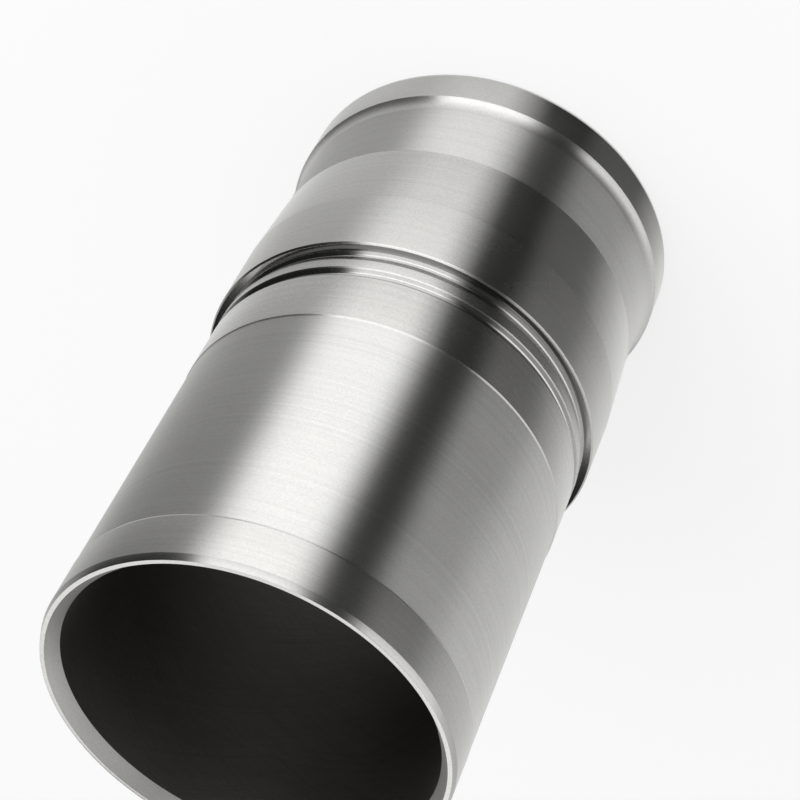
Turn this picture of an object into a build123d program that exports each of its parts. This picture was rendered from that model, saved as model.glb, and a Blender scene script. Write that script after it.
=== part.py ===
"""Wet cylinder liner with a mid-stop seat, for a 114 mm bore engine (millimetres).

One piece, turned from a centrifugally cast grey-iron tube.  It stands on its flange:
Z = 0 is the deck face that the head gasket clamps, and +Z runs along the bore towards
the skirt, the end that enters the crankcase first.  The origin is on the bore axis.
"""
import os
from math import cos, radians, sin, tan

from build123d import *

os.makedirs("parts", exist_ok=True)

# ---- driving dimensions ------------------------------------------------------------
bore_diameter = 114.0        # honed running surface of the piston rings
liner_length = 228.5         # deck face to skirt end

# wall thickness of each outside zone, measured from the bore
flange_wall = 8.4            # flange that locates the liner in the top of the block
cove_wall = 6.3              # where the water jacket zone runs out into the flange cove
waist_wall = 5.9             # thinnest place of the water jacket zone
waist_land_wall = 6.3        # lip of the lower jacket zone at the waist
seat_band_wall = 7.9         # locating band above the mid-stop seat
pilot_wall = 5.3             # pilot band that fits the crankcase register
skirt_wall = 5.0             # plain lower body
nose_band_wall = 5.15        # band at the skirt end, slightly proud of the body

# axial heights of the zones, from the flange down to the crankcase register
flange_height = 13.4
cove_height = 4.4            # cove under the flange
upper_jacket_height = 23.8   # cove to waist
lower_jacket_height = 27.9   # waist to the locating band
seat_band_height = 24.2      # locating band, ends on the mid-stop seat face
undercut_width = 3.7         # relief groove in the corner of the seat
ridge_height = 5.1           # rib between the relief and the seal groove
seal_groove_width = 3.7      # both grooves are measured across their lips
pilot_height = 19.1
nose_band_height = 17.0      # proud band, measured from the skirt end

# the relief and the seal groove have the section of one form tool
groove_depth = 2.5           # from the pilot's radius down to the floor
groove_flank_angle = 20      # degrees that each flank opens outwards

# edges
deck_edge = 0.8              # chamfer round the outside of the deck face
bore_edge = 0.8              # chamfer of the bore at the deck face
seat_edge = 0.6              # break on the outer edge of the seat
rib_edge = 0.35              # breaks on the rib and on the pilot's upper edge
rib_lead = 1.2               # axial run of the rib's break on the side of the seat
waist_step = 0.4             # axial run of the step at the waist
pilot_step = 0.5             # axial run of the chamfer where the pilot meets the body
nose_step = 0.6              # axial run of the step up to the band at the skirt end
lead_in_width = 0.8          # outer lead-in chamfer at the skirt end
lead_in_height = 2.1
skirt_chamfer_width = 3.0    # inner chamfer at the skirt end
skirt_chamfer_height = 4.2

# ---- radii -------------------------------------------------------------------------
bore_r = bore_diameter / 2
flange_r = bore_r + flange_wall
cove_r = bore_r + cove_wall
waist_r = bore_r + waist_wall
waist_land_r = bore_r + waist_land_wall
seat_band_r = bore_r + seat_band_wall
pilot_r = bore_r + pilot_wall
skirt_r = bore_r + skirt_wall
nose_band_r = bore_r + nose_band_wall
lip_r = pilot_r - rib_edge
groove_r = pilot_r - groove_depth

# ---- stations along Z --------------------------------------------------------------
z_cove = flange_height + cove_height
z_waist = z_cove + upper_jacket_height
z_seat_band = z_waist + lower_jacket_height
z_seat = z_seat_band + seat_band_height
z_rib_top = z_seat + undercut_width
z_rib_end = z_rib_top + ridge_height
z_pilot = z_rib_end + seal_groove_width
z_pilot_end = z_pilot + pilot_height
z_nose_band = liner_length - nose_band_height
z_lead_in = liner_length - lead_in_height
z_skirt_chamfer = liner_length - skirt_chamfer_height


def form_groove(z_start, z_end):
    """Draw a groove from lip to lip: a full-round floor that runs into flared flanks."""
    flank = radians(groove_flank_angle)
    half_width = (z_end - z_start) / 2
    z_middle = (z_start + z_end) / 2
    flare = (lip_r - groove_r) * tan(flank)
    floor_radius = (half_width - flare) / (1 / cos(flank) - tan(flank))
    tangent_r = groove_r + floor_radius * (1 - sin(flank))
    z_first = z_middle - floor_radius * cos(flank)
    z_last = z_middle + floor_radius * cos(flank)
    Line((lip_r, z_start), (tangent_r, z_first))
    ThreePointArc((tangent_r, z_first), (groove_r, z_middle), (tangent_r, z_last))
    Line((tangent_r, z_last), (lip_r, z_end))


# ---- the liner: one half section, turned about the bore axis -----------------------
with BuildPart() as cylinder_liner:
    with BuildSketch(Plane.XZ):
        with BuildLine():
            # deck face, from the bore outwards, and the flange
            Polyline(
                (bore_r, bore_edge),
                (bore_r + bore_edge, 0),
                (flange_r - deck_edge, 0),
                (flange_r, deck_edge),
                (flange_r, flange_height),
            )
            # water jacket zone: cone down to the waist, swept up into the flange
            jacket = Line((waist_r, z_waist), (cove_r, z_cove))
            TangentArc((cove_r, z_cove), (flange_r, flange_height), tangent=jacket % 1)
            Polyline(
                (waist_r, z_waist),
                (waist_land_r, z_waist + waist_step),
                (seat_band_r, z_seat_band),
                (seat_band_r, z_seat - seat_edge),
                (seat_band_r - seat_edge, z_seat),
                (lip_r, z_seat),
            )
            # relief in the corner of the seat, rib, and seal groove
            form_groove(z_seat, z_rib_top)
            Polyline(
                (lip_r, z_rib_top),
                (pilot_r, z_rib_top + rib_lead),
                (pilot_r, z_rib_end - rib_edge),
                (lip_r, z_rib_end),
            )
            form_groove(z_rib_end, z_pilot)
            # pilot band, plain body, proud band, skirt end, and back to the bore
            Polyline(
                (lip_r, z_pilot),
                (pilot_r, z_pilot + rib_edge),
                (pilot_r, z_pilot_end),
                (skirt_r, z_pilot_end + pilot_step),
                (skirt_r, z_nose_band),
                (nose_band_r, z_nose_band + nose_step),
                (nose_band_r, z_lead_in),
                (nose_band_r - lead_in_width, liner_length),
                (bore_r + skirt_chamfer_width, liner_length),
                (bore_r, z_skirt_chamfer),
                (bore_r, bore_edge),
            )
        make_face()
    revolve(axis=Axis.Z)

cylinder_liner.part.label = "cylinder_liner"
export_step(cylinder_liner.part, "parts/cylinder_liner.step")
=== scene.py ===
"""Looks of the cylinder liner: a bright turned and ground iron tube, skirt end up.

The liner stands on its flange: Z = 0 is the deck face and +Z runs along the bore to
the skirt end, as in the CAD frame.  Its sizes are named in millimetres and turned into
metres by MM.  The liner is one lathe mesh with rounded edges, and each of its finishes
is a material of its own.
"""

import math

import bpy
from mathutils import Matrix, Vector


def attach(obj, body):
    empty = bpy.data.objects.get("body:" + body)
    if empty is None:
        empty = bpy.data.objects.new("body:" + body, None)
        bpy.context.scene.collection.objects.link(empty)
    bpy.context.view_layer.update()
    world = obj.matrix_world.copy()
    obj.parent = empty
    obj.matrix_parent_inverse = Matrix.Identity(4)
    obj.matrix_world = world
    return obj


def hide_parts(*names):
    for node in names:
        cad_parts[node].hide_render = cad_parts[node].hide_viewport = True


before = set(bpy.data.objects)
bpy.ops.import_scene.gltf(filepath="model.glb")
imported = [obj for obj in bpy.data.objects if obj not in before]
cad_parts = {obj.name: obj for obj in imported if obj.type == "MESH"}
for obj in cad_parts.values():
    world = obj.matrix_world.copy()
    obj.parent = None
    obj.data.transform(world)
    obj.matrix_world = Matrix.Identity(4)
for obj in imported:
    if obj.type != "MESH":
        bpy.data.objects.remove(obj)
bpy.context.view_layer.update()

MM = 0.001

# ---- sizes of the liner, in millimetres, as in the part ----------------------------
BORE_R = 57.0
FLANGE_R = 65.4
COVE_R = 63.3
WAIST_R = 62.9
WAIST_LAND_R = 63.3
SEAT_BAND_R = 64.9
PILOT_R = 62.3
SKIRT_R = 62.0
NOSE_BAND_R = 62.15

Z_FLANGE = 13.4
Z_COVE = 17.8
Z_WAIST = 41.6
Z_SEAT_BAND = 69.5
Z_SEAT = 93.7
Z_RIB_TOP = 97.4
Z_RIB_END = 102.5
Z_PILOT = 106.2
Z_PILOT_END = 125.3
Z_NOSE_BAND = 211.5
Z_SKIRT_CHAMFER = 224.3
Z_LEAD_IN = 226.4
LENGTH = 228.5

DECK_EDGE = 0.8
BORE_EDGE = 0.8
SEAT_EDGE = 0.6
RIB_EDGE = 0.35
RIB_LEAD = 1.2
WAIST_STEP = 0.4
PILOT_STEP = 0.5
NOSE_STEP = 0.6
LEAD_IN_WIDTH = 0.8
SKIRT_CHAMFER_WIDTH = 3.0

# ---- sizes that are the scene's own, in millimetres --------------------------------
GROOVE_R = 60.7              # floor of both grooves, shallower than in the part
GROOVE_FLANK = math.radians(40)       # by which each flank opens, wider than in the part
EDGE_ROUND = 0.12            # radius left on a turned edge
STEP_ROUND = 0.05            # radius left on the edges of the fine steps
EDGE_SHARE = 0.4             # of a straight line that the arc at one end may take

# ---- mesh fineness -----------------------------------------------------------------
SEGMENTS = 384               # round the liner
EDGE_STEPS = 3
GROOVE_STEPS = 18
COVE_STEPS = 10

# ---- the photograph's camera -------------------------------------------------------
SENSOR = 36                  # its width and the focal length in millimetres
FOCAL = 99.11
NEAR_CLIP = 0.01             # metres, as are the places below
AXIS_TO_SIGHT = math.radians(45.95)   # between the bore axis and the line of sight
AXIS_ROLL = math.radians(63.76)       # of the bore axis in the picture
SKIRT_LEFT = 0.04397         # skirt end's centre from the middle of the picture
SKIRT_BELOW = 0.08878
SKIRT_AWAY = 0.61218


def camera_axes():
    """Right, down and forward of the photograph's camera, which looks along +Y and down."""
    forward = Vector((0, math.sin(AXIS_TO_SIGHT), -math.cos(AXIS_TO_SIGHT)))
    level = Vector((1, 0, 0))
    upright = level.cross(forward)
    right = -level * math.sin(AXIS_ROLL) - upright * math.cos(AXIS_ROLL)
    down = forward.cross(right)
    return right, down, forward


def add_camera():
    """Set up the camera and give its place."""
    right, down, forward = camera_axes()
    skirt = Vector((0, 0, LENGTH * MM))
    place = skirt + right * SKIRT_LEFT - down * SKIRT_BELOW - forward * SKIRT_AWAY
    turn = Matrix((right, -down, -forward)).transposed()
    data = bpy.data.cameras.new("photo_camera")
    data.lens = FOCAL
    data.sensor_width = SENSOR
    data.clip_start = NEAR_CLIP
    camera = bpy.data.objects.new("photo_camera", data)
    camera.matrix_world = Matrix.Translation(place) @ turn.to_4x4()
    bpy.context.scene.collection.objects.link(camera)
    bpy.context.scene.camera = camera
    return place


# ---- the liner's half section ------------------------------------------------------
# A point of it is its radius, its Z, the radius left on its edge and the finish of the
# face that follows it.
def groove(z_start, z_end, finish, beyond):
    """Points of a full-round groove with flared flanks, from lip to lip."""
    lip_r = PILOT_R - RIB_EDGE
    middle = (z_start + z_end) / 2
    half_floor = (z_end - z_start) / 2 - (lip_r - GROOVE_R) * math.tan(GROOVE_FLANK)
    radius = half_floor / (1 / math.cos(GROOVE_FLANK) - math.tan(GROOVE_FLANK))
    sweep = math.pi / 2 - GROOVE_FLANK
    points = [(lip_r, z_start, EDGE_ROUND, finish)]
    for step in range(GROOVE_STEPS + 1):
        angle = sweep * (2 * step / GROOVE_STEPS - 1)
        r = GROOVE_R + radius * (1 - math.cos(angle))
        points.append((r, middle + radius * math.sin(angle), 0, finish))
    points.append((lip_r, z_end, EDGE_ROUND, beyond))
    return points


def cove():
    """Points of the arc that sweeps the jacket zone out to the flange, from the flange."""
    jacket = Vector((COVE_R - WAIST_R, Z_COVE - Z_WAIST)).normalized()
    start = Vector((COVE_R, Z_COVE))
    chord = Vector((FLANGE_R, Z_FLANGE)) - start
    bend = jacket.angle_signed(chord) * 2
    points = []
    for step in range(COVE_STEPS):
        half_turn = bend * step / COVE_STEPS / 2
        reach = chord.length * math.sin(half_turn) / math.sin(bend / 2)
        spot = start + (Matrix.Rotation(-half_turn, 2) @ jacket) * reach
        points.append((spot.x, spot.y, 0, "cove" if step else "jacket"))
    points.reverse()
    return points


def half_section():
    """The corners of the closed half section, from the bore at the deck face."""
    corners = [
        (BORE_R, BORE_EDGE, EDGE_ROUND, "turned"),
        (BORE_R + BORE_EDGE, 0, EDGE_ROUND, "ground"),
        (FLANGE_R - DECK_EDGE, 0, EDGE_ROUND, "turned"),
        (FLANGE_R, DECK_EDGE, EDGE_ROUND, "ground"),
        (FLANGE_R, Z_FLANGE, EDGE_ROUND, "cove"),
    ]
    corners += cove()
    corners += [
        (WAIST_R, Z_WAIST, STEP_ROUND, "turned"),
        (WAIST_LAND_R, Z_WAIST + WAIST_STEP, EDGE_ROUND, "lower"),
        (SEAT_BAND_R, Z_SEAT_BAND, STEP_ROUND, "band"),
        (SEAT_BAND_R, Z_SEAT - SEAT_EDGE, EDGE_ROUND, "turned"),
        (SEAT_BAND_R - SEAT_EDGE, Z_SEAT, EDGE_ROUND, "seat"),
    ]
    corners += groove(Z_SEAT, Z_RIB_TOP, "groove", "lead")
    corners += [
        (PILOT_R, Z_RIB_TOP + RIB_LEAD, EDGE_ROUND, "pilot"),
        (PILOT_R, Z_RIB_END - RIB_EDGE, EDGE_ROUND, "turned"),
    ]
    corners += groove(Z_RIB_END, Z_PILOT, "groove", "turned")
    corners += [
        (PILOT_R, Z_PILOT + RIB_EDGE, EDGE_ROUND, "pilot"),
        (PILOT_R, Z_PILOT_END, STEP_ROUND, "body"),
        (SKIRT_R, Z_PILOT_END + PILOT_STEP, STEP_ROUND, "body"),
        (SKIRT_R, Z_NOSE_BAND, STEP_ROUND, "turned"),
        (NOSE_BAND_R, Z_NOSE_BAND + NOSE_STEP, STEP_ROUND, "nose"),
        (NOSE_BAND_R, Z_LEAD_IN, EDGE_ROUND, "lead"),
        (NOSE_BAND_R - LEAD_IN_WIDTH, LENGTH, EDGE_ROUND, "turned"),
        (BORE_R + SKIRT_CHAMFER_WIDTH, LENGTH, EDGE_ROUND, "chamfer"),
        (BORE_R, Z_SKIRT_CHAMFER, EDGE_ROUND, "bore"),
    ]
    return corners


def rounded(corners):
    """Places and finishes of the half section, with a small arc for each edge radius."""
    points = []
    for index, (r, z, edge, finish) in enumerate(corners):
        here = Vector((r, z))
        if edge == 0:
            points.append((here, finish))
            continue
        before = Vector(corners[index - 1][:2]) - here
        after = Vector(corners[(index + 1) % len(corners)][:2]) - here
        turn = math.pi - before.angle(after)
        room = EDGE_SHARE * min(before.length, after.length)
        cut = min(edge * math.tan(turn / 2), room)
        first = here + before.normalized() * cut
        last = here + after.normalized() * cut
        for step in range(EDGE_STEPS + 1):
            share = step / EDGE_STEPS
            spot = first * (1 - share) ** 2 + here * 2 * share * (1 - share) + last * share ** 2
            points.append((spot, finish))
    return points


def lathe(name, points, materials):
    """A closed mesh: the section's points turned about Z, one material for each finish."""
    count = len(points)
    vertices = []
    for segment in range(SEGMENTS):
        angle = 2 * math.pi * segment / SEGMENTS
        across = MM * math.cos(angle)
        deep = MM * math.sin(angle)
        vertices += [(spot.x * across, spot.x * deep, spot.y * MM) for spot, _ in points]
    faces = []
    for segment in range(SEGMENTS):
        this = segment * count
        following = (segment + 1) % SEGMENTS * count
        for index in range(count):
            beyond = (index + 1) % count
            faces.append((this + index, this + beyond, following + beyond, following + index))
    mesh = bpy.data.meshes.new(name)
    mesh.from_pydata(vertices, [], faces)
    names = list(materials)
    for finish in names:
        mesh.materials.append(materials[finish])
    slots = [names.index(finish) for _, finish in points]
    mesh.polygons.foreach_set("material_index", slots * SEGMENTS)
    mesh.polygons.foreach_set("use_smooth", [True] * len(faces))
    unroll(mesh, [spot for spot, _ in points])
    mesh.update()
    liner = bpy.data.objects.new(name, mesh)
    bpy.context.scene.collection.objects.link(liner)
    return liner


def unroll(mesh, section):
    """UV of the lathe mesh: U round the axis and V along the section."""
    along = [0.0]
    for index, spot in enumerate(section):
        along.append(along[-1] + (section[(index + 1) % len(section)] - spot).length)
    share = [length / along[-1] for length in along]
    spots = []
    for segment in range(SEGMENTS):
        left = segment / SEGMENTS
        right = (segment + 1) / SEGMENTS
        for low, high in zip(share, share[1:]):
            spots += [left, low, left, high, right, high, right, low]
    mesh.uv_layers.new(name="turning").data.foreach_set("uv", spots)


# ---- materials ---------------------------------------------------------------------
class Nodes:
    """A short way to write a node tree."""

    def __init__(self, tree):
        self.tree = tree
        tree.nodes.clear()

    def add(self, kind, *, out=0, **values):
        """Add a node and give one of its outputs.

        A value is an input by its name, with _ for each space, or by its place, as in0,
        and otherwise a setting of the node, which starts with a small letter."""
        node = self.tree.nodes.new(kind)
        inputs = {}
        for key, value in values.items():
            if key[0].isupper():
                inputs[key.replace("_", " ")] = value
            elif key[:2] == "in" and key[2:].isdigit():
                inputs[int(key[2:])] = value
            else:
                setattr(node, key, value)
        for key, value in inputs.items():
            if isinstance(value, bpy.types.NodeSocket):
                self.tree.links.new(value, node.inputs[key])
            else:
                node.inputs[key].default_value = value
        return node.outputs[out] if node.outputs else None


# Noise patterns: pitches are in millimetres, and the rest is cells for each metre.
MARK_PITCH = 0.18            # of the turning marks, in millimetres along the axis
BAND_PITCH = 1.6             # of the broader bands among them
MARKS_ROUND = (6.0, 6.0)     # round the axis, where the marks hardly change
BANDS_ROUND = (2.0, 2.0)
HONING = (1000.0, 1000.0, 30.0)       # across the honing scratches, and along them
HONE_TWIST = 32.0            # radians round the bore for each metre along it
GRAIN_FINENESS = 1500.0
CLOUD_FINENESS = 28.0

GRAIN = 0.07                 # swing of the brightness by the fine grain
CLOUD = 0.03                 # and by the broad unevenness
BAND_LIMIT = 0.06            # and by the bands, at most
ROUGHNESS_SWING = 0.02
RELIEF_STRENGTH = 0.5
NOISE_LOW = 0.2              # a noise pattern stays mostly between these
NOISE_HIGH = 0.8


def noise(nodes, place, scale=1.0, detail=3.0, roughness=0.6):
    return nodes.add(
        "ShaderNodeTexNoise", Vector=place, Scale=scale, Detail=detail, Roughness=roughness
    )


def scaled(nodes, place, scale):
    return nodes.add("ShaderNodeMapping", Vector=place, Scale=scale)


def turning(nodes, place):
    """Fine rings round the axis, as a lathe tool or a grinding wheel leaves them."""
    return noise(nodes, scaled(nodes, place, (*MARKS_ROUND, 1 / (MARK_PITCH * MM))))


def banding(nodes, place):
    """Broader rings, where the marks are a little brighter or darker together."""
    return noise(nodes, scaled(nodes, place, (*BANDS_ROUND, 1 / (BAND_PITCH * MM))), detail=4.0)


def honing(nodes, place):
    """Two sets of fine helical scratches that cross, as a honing head leaves them."""
    height = nodes.add("ShaderNodeSeparateXYZ", out="Z", Vector=place)
    sets = []
    for twist in (HONE_TWIST, -HONE_TWIST):
        angle = nodes.add("ShaderNodeMath", operation="MULTIPLY", in0=height, in1=twist)
        unwound = nodes.add(
            "ShaderNodeVectorRotate", rotation_type="Z_AXIS", Vector=place, Angle=angle
        )
        sets.append(noise(nodes, scaled(nodes, unwound, HONING), roughness=0.7))
    return nodes.add("ShaderNodeMath", operation="MINIMUM", in0=sets[0], in1=sets[1])


def spread(nodes, pattern, low, high):
    """A noise pattern brought between two values, without a hard stop at either."""
    return nodes.add(
        "ShaderNodeMapRange", interpolation_type="SMOOTHSTEP", Value=pattern,
        From_Min=NOISE_LOW, From_Max=NOISE_HIGH, To_Min=low, To_Max=high,
    )


def metal(name, colour, roughness, anisotropy, streak, mark_height, tooling=turning):
    """Machined iron: the marks of its tooling, fine grain and a little unevenness.

    streak is the swing of the brightness by the marks, and mark_height is theirs in
    millimetres."""
    material = bpy.data.materials.new(name)
    material.use_nodes = True
    nodes = Nodes(material.node_tree)
    place = nodes.add("ShaderNodeTexCoord", out="Object")
    marks = tooling(nodes, place)
    bands = banding(nodes, place)
    grains = noise(nodes, place, GRAIN_FINENESS, detail=2.0, roughness=0.7)
    clouds = noise(nodes, place, CLOUD_FINENESS, roughness=0.55)
    tone = spread(nodes, grains, 1 - GRAIN, 1 + GRAIN)
    for pattern, amount in ((clouds, CLOUD), (marks, streak), (bands, min(streak, BAND_LIMIT))):
        swing = spread(nodes, pattern, 1 - amount, 1 + amount)
        tone = nodes.add("ShaderNodeMath", operation="MULTIPLY", in0=tone, in1=swing)
    base = nodes.add("ShaderNodeVectorMath", operation="SCALE", Vector=colour, Scale=tone)
    rough = spread(nodes, clouds, roughness - ROUGHNESS_SWING, roughness + ROUGHNESS_SWING)
    relief = nodes.add(
        "ShaderNodeBump", Strength=RELIEF_STRENGTH, Distance=mark_height * MM, Height=marks
    )
    tangent = nodes.add("ShaderNodeTangent", direction_type="UV_MAP", uv_map="turning")
    # the quarter turn makes the gloss broad along the axis, across the marks
    shader = nodes.add(
        "ShaderNodeBsdfPrincipled", Metallic=1.0, Anisotropic=anisotropy,
        Anisotropic_Rotation=0.25, Base_Color=base, Roughness=rough, Normal=relief,
        Tangent=tangent,
    )
    nodes.add("ShaderNodeOutputMaterial", Surface=shader)
    return material


IRON = (0.56, 0.555, 0.54)
# a lighter copy of the iron: painted light on the turned body, jacket and cove
PAINTED_LIGHT_IRON = (0.65, 0.645, 0.63)
# a darker copy of the iron: painted shade on the grooves, lead-ins and skirt chamfer
PAINTED_SHADE_IRON = (0.45, 0.445, 0.435)
# darker still: painted shade on the seat
SEAT_PAINTED_SHADE_IRON = (0.38, 0.375, 0.365)
# darkest copy of the iron: painted shade inside the bore
BORE_PAINTED_SHADE_IRON = (0.20, 0.19, 0.18)


def finishes():
    """The material of each finish that the half section names.

    After the colour stand roughness, anisotropy, streak and the height of the marks."""
    # painted light and shade: the lighter iron on body, jacket and cove, the darker irons on
    # grooves, lead-ins, seat, skirt chamfer and bore
    return {
        "body": metal("turned_body", PAINTED_LIGHT_IRON, 0.35, 0.96, 0.06, 0.0015),
        "nose": metal("ground_nose", IRON, 0.28, 0.75, 0.04, 0.0003),
        "pilot": metal("ground_pilot", IRON, 0.27, 0.75, 0.04, 0.0003),
        "band": metal("ground_band", IRON, 0.28, 0.80, 0.04, 0.0003),
        "lower": metal("turned_lower_jacket", IRON, 0.26, 0.75, 0.04, 0.0003),
        "jacket": metal("turned_jacket", PAINTED_LIGHT_IRON, 0.40, 0.96, 0.05, 0.0015),
        "cove": metal("turned_cove", PAINTED_LIGHT_IRON, 0.33, 0.93, 0.03, 0.0005),
        "turned": metal("turned_edges", IRON, 0.25, 0.60, 0.03, 0.0003),
        "groove": metal("turned_grooves", PAINTED_SHADE_IRON, 0.16, 0.40, 0.03, 0.0003),
        "lead": metal("turned_lead", PAINTED_SHADE_IRON, 0.28, 0.70, 0.03, 0.0003),
        "ground": metal("ground_flange", IRON, 0.34, 0.20, 0.04, 0.0008),
        "seat": metal("ground_seat", SEAT_PAINTED_SHADE_IRON, 0.14, 0.30, 0.03, 0.0003),
        "chamfer": metal("skirt_chamfer", PAINTED_SHADE_IRON, 0.50, 0.30, 0.03, 0.0008),
        "bore": metal("honed_bore", BORE_PAINTED_SHADE_IRON, 0.45, 0.0, 0.16, 0.003, honing),
    }


# ---- reflector cards ---------------------------------------------------------------
# Only the liner mirrors the cards.  Their levels are brightness against the angle, in
# degrees round the liner from the camera's side, at which its wall mirrors them, and
# run evenly from stop to stop.
FLOOR_NEAR = (
    (-89, 1.2), (-60, 0.95), (-36, 0.12), (-19, 0.10), (-13, 0.03), (-2, 0.05),
    (10, 0.87), (22, 0.87), (34, 0.70), (60, 0.82), (89, 1.5),
)
FLOOR_MIDDLE = (
    (-89, 1.1), (-58, 0.85), (-35, 0.19), (-19, 0.17), (-14, 0.01), (-3, 0.02),
    (5, 1.5), (22, 1.5), (32, 0.55), (50, 0.57), (89, 1.3),
)
FLOOR_FAR = (
    (-89, 1.1), (-39, 0.48), (-30, 0.16), (-19, 0.17), (-13, 0.04), (-4, 0.04),
    (4, 1.75), (22, 1.75), (31, 0.30), (52, 0.26), (89, 1.1),
)
WALL_LOW = (
    (-89, 1.0), (-50, 0.9), (-45, 1.0), (-18, 1.0), (-14, 0.02), (-2, 0.02),
    (3, 0.8), (27, 0.8), (31, 0.02), (64, 0.02), (89, 1.4),
)
WALL_MIDDLE = (
    (-89, 1.0), (-55, 1.2), (-45, 2.1), (-18, 2.1), (-14, 0.02), (-2, 0.02),
    (3, 2.8), (27, 2.8), (31, 0.02), (66, 0.02), (89, 1.0),
)
WALL_HIGH = (
    (-89, 0.8), (-60, 0.8), (-45, 0.5), (-18, 0.5), (-14, 0.04), (-2, 0.04),
    (3, 1.5), (27, 1.5), (31, 0.02), (66, 0.02), (89, 0.8),
)
# the share of the liner's height that mirrors each row of the floor card's stops
FLOOR_ROWS = ((0.0, FLOOR_NEAR), (0.75, FLOOR_MIDDLE), (1.0, FLOOR_FAR))
# and the degrees of lean for the rows of the standing card
WALL_ROWS = ((24, WALL_LOW), (33, WALL_MIDDLE), (44, WALL_HIGH))

CARD_ROWS = 15
CARD_ANGLES = range(-89, 90, 2)
CARD_RISE = 0.0015           # of the floor card above the floor
LOWEST_HEIGHT = 0.002        # on the liner that the floor card serves
LEAST_LEAN = 17              # degrees of lean that the standing card serves
MOST_LEAN = 62
WALL_DISTANCE = 1.0          # of the standing card from the bore axis

BACK_LEVEL = 1.3             # of the card that the skirt end's face mirrors
BACK_DISTANCE = 0.15         # from that face
BACK_LOW = -0.045            # its edges below and above the middle of what is mirrored
BACK_HIGH = 0.20
BACK_HALF = 0.25


def glow(name):
    """A plain white glow of the brightness that the mesh's levels give."""
    material = bpy.data.materials.new(name)
    material.use_nodes = True
    nodes = Nodes(material.node_tree)
    level = nodes.add("ShaderNodeAttribute", out="Fac", attribute_name="level")
    light = nodes.add("ShaderNodeEmission", Color=(1, 1, 1, 1), Strength=level)
    nodes.add("ShaderNodeOutputMaterial", Surface=light)
    return material


def card(name, rows):
    """A reflector card over a grid of points with levels."""
    columns = len(rows[0])
    points = [point for row in rows for point in row]
    faces = []
    for row in range(len(rows) - 1):
        for column in range(columns - 1):
            corner = row * columns + column
            faces.append((corner, corner + 1, corner + columns + 1, corner + columns))
    mesh = bpy.data.meshes.new(name)
    mesh.from_pydata([spot for spot, _ in points], [], faces)
    levels = mesh.attributes.new("level", "FLOAT", "POINT")
    levels.data.foreach_set("value", [level for _, level in points])
    mesh.materials.append(glow(name))
    piece = bpy.data.objects.new(name, mesh)
    bpy.context.scene.collection.objects.link(piece)
    piece.visible_camera = False
    piece.visible_diffuse = False
    piece.visible_shadow = False
    piece.visible_transmission = False


def mixed(first, last, share):
    return first + (last - first) * share


def spaced(first, last, count):
    return [mixed(first, last, step / count) for step in range(count + 1)]


def stops_at(rows, place):
    """The stops part of the way between the two rows that a place lies between."""
    for (low, first), (high, last) in zip(rows, rows[1:]):
        if place < high:
            break
    share = min(max((place - low) / (high - low), 0), 1)
    return [
        (mixed(one[0], other[0], share), mixed(one[1], other[1], share))
        for one, other in zip(first, last)
    ]


def level_at(stops, phi):
    """Brightness of a row of stops at one angle."""
    for (phi_low, level_low), (phi_high, level_high) in zip(stops, stops[1:]):
        if phi <= phi_high:
            return mixed(level_low, level_high, (phi - phi_low) / (phi_high - phi_low))
    return stops[-1][1]


def mirror_ray(eye, phi, height, lean):
    """Start and direction of the ray that the liner's wall mirrors to the camera.

    phi runs round the bore axis from the camera's side, and lean is how far the wall's
    normal leans up from level, both in degrees."""
    phi = math.radians(phi)
    lean = math.radians(lean)
    outwards = Vector((math.sin(phi), -math.cos(phi), 0))
    spot = outwards * SKIRT_R * MM + Vector((0, 0, height))
    normal = outwards * math.cos(lean) + Vector((0, 0, math.sin(lean)))
    sight = (spot - eye).normalized()
    return spot, sight - 2 * sight.dot(normal) * normal


def floor_card(eye):
    """A card on the floor, each place of it under what the liner's wall mirrors there."""
    rows = []
    for height in spaced(LOWEST_HEIGHT, LENGTH * MM, CARD_ROWS):
        stops = stops_at(FLOOR_ROWS, height / (LENGTH * MM))
        row = []
        for phi in CARD_ANGLES:
            spot, ray = mirror_ray(eye, phi, height, 0)
            hit = spot - ray * (spot.z / ray.z)
            row.append((Vector((hit.x, hit.y, CARD_RISE)), level_at(stops, phi)))
        rows.append(row)
    far = []
    for phi in CARD_ANGLES:
        spot, ray = mirror_ray(eye, phi, LENGTH * MM, 0)
        level_ray = Vector((ray.x, ray.y, 0)).normalized()
        away = Vector((spot.x, spot.y, CARD_RISE)) + level_ray * WALL_DISTANCE
        far.append((away, level_at(FLOOR_FAR, phi)))
    rows.append(far)
    card("floor_card", rows)


def wall_card(eye):
    """A standing card that the wall mirrors where its normal leans up."""
    rows = []
    for lean in spaced(LEAST_LEAN, MOST_LEAN, CARD_ROWS):
        stops = stops_at(WALL_ROWS, lean)
        row = []
        for phi in CARD_ANGLES:
            spot, ray = mirror_ray(eye, phi, LENGTH * MM / 2, lean)
            away = spot + ray * (WALL_DISTANCE / Vector((ray.x, ray.y)).length)
            row.append((away, level_at(stops, phi)))
        rows.append(row)
    card("wall_card", rows)


def back_card(eye):
    """A card high behind the liner, which the level face of the skirt end mirrors."""
    skirt = Vector((0, 0, LENGTH * MM))
    sight = (skirt - eye).normalized()
    ray = Vector((sight.x, sight.y, -sight.z))
    across = ray.cross(Vector((0, 0, 1))).normalized()
    upright = across.cross(ray)
    middle = skirt + ray * BACK_DISTANCE
    rows = []
    for up in (BACK_LOW, BACK_HIGH):
        edge = middle + upright * up
        rows.append([(edge + across * side, BACK_LEVEL) for side in (-BACK_HALF, BACK_HALF)])
    card("back_card", rows)


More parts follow.
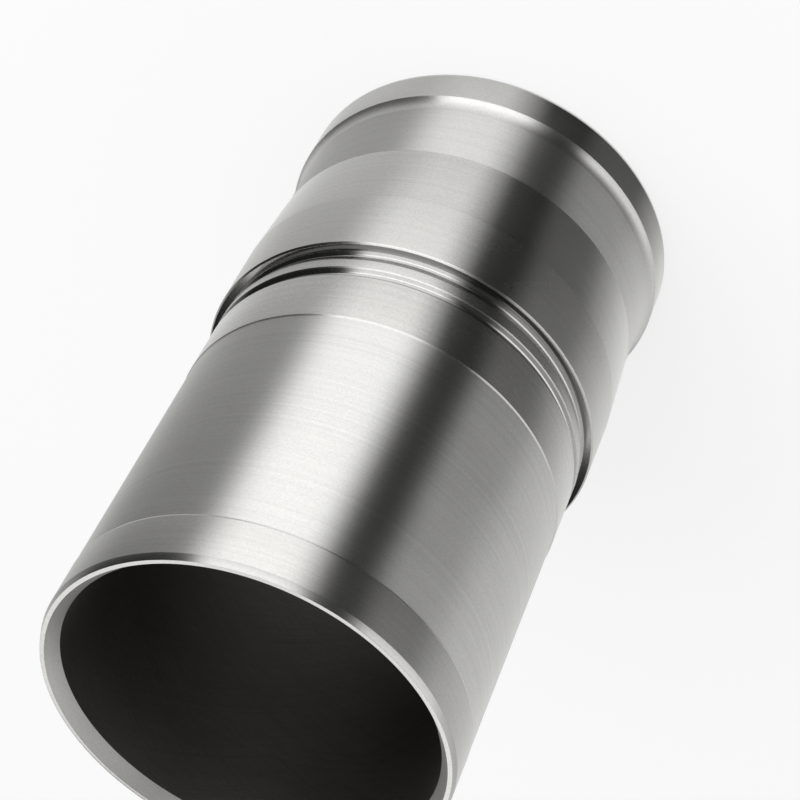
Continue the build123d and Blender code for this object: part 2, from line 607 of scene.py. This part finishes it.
# ---- floor, world and lamp ---------------------------------------------------------
FLOOR_HALF = 6.0             # half of the floor's side
FLOOR_COLOUR = (0.86, 0.86, 0.86, 1)
FLOOR_GLOW = 0.72            # share of plain white in what is seen of the floor
WORLD_LEVEL = 0.75           # what lights the floor
GLOSSY_LEVEL = 0.03          # what the metal mirrors beyond the cards
KEY_PLACE = Vector((0.6, -0.5, 1.3))
KEY_SIZE = 1.2
KEY_POWER = 9.0


def add_floor():
    """A pale floor: nearly white to the camera and in the metal, with the soft shadow."""
    corners = [(-FLOOR_HALF, -FLOOR_HALF, 0), (FLOOR_HALF, -FLOOR_HALF, 0)]
    corners += [(FLOOR_HALF, FLOOR_HALF, 0), (-FLOOR_HALF, FLOOR_HALF, 0)]
    mesh = bpy.data.meshes.new("floor")
    mesh.from_pydata(corners, [], [(0, 1, 2, 3)])
    material = bpy.data.materials.new("floor")
    material.use_nodes = True
    nodes = Nodes(material.node_tree)
    paint = nodes.add("ShaderNodeBsdfDiffuse", Color=FLOOR_COLOUR)
    white = nodes.add("ShaderNodeEmission", Color=(1, 1, 1, 1), Strength=1.0)
    path = nodes.tree.nodes.new("ShaderNodeLightPath").outputs
    seen = path["Is Camera Ray"]
    for also in ("Is Glossy Ray", "Is Transmission Ray"):
        seen = nodes.add("ShaderNodeMath", operation="MAXIMUM", in0=seen, in1=path[also])
    share = nodes.add("ShaderNodeMath", operation="MULTIPLY", in0=seen, in1=FLOOR_GLOW)
    surface = nodes.add("ShaderNodeMixShader", in0=share, in1=paint, in2=white)
    nodes.add("ShaderNodeOutputMaterial", Surface=surface)
    mesh.materials.append(material)
    floor = bpy.data.objects.new("floor", mesh)
    bpy.context.scene.collection.objects.link(floor)


def add_world():
    """A white world to the camera, which lights the floor and hardly shows in the metal."""
    world = bpy.data.worlds.new("studio")
    world.use_nodes = True
    nodes = Nodes(world.node_tree)
    path = nodes.tree.nodes.new("ShaderNodeLightPath").outputs
    unseen = nodes.add(
        "ShaderNodeMapRange", Value=path["Is Glossy Ray"], To_Min=WORLD_LEVEL, To_Max=GLOSSY_LEVEL
    )
    level = nodes.add("ShaderNodeMapRange", Value=path["Is Camera Ray"], To_Min=unseen, To_Max=1.0)
    sky = nodes.add("ShaderNodeBackground", Color=(1, 1, 1, 1), Strength=level)
    nodes.add("ShaderNodeOutputWorld", Surface=sky)
    bpy.context.scene.world = world


def add_key():
    """A broad soft lamp over the liner, for the floor's shading; the metal doesn't mirror it."""
    data = bpy.data.lights.new("soft_key", "AREA")
    data.shape = "DISK"
    data.size = KEY_SIZE
    data.energy = KEY_POWER
    lamp = bpy.data.objects.new("soft_key", data)
    target = Vector((0, 0, LENGTH * MM / 2))
    aim = (target - KEY_PLACE).to_track_quat("-Z", "Y")
    lamp.matrix_world = Matrix.Translation(KEY_PLACE) @ aim.to_matrix().to_4x4()
    lamp.visible_glossy = False
    bpy.context.scene.collection.objects.link(lamp)


# ---- the scene ---------------------------------------------------------------------
bpy.context.scene.view_settings.view_transform = "Standard"
eye = add_camera()
add_world()
add_floor()
floor_card(eye)
wall_card(eye)
back_card(eye)
add_key()

liner = lathe("liner", rounded(half_section()), finishes())
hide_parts("cylinder_liner")
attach(liner, "root")
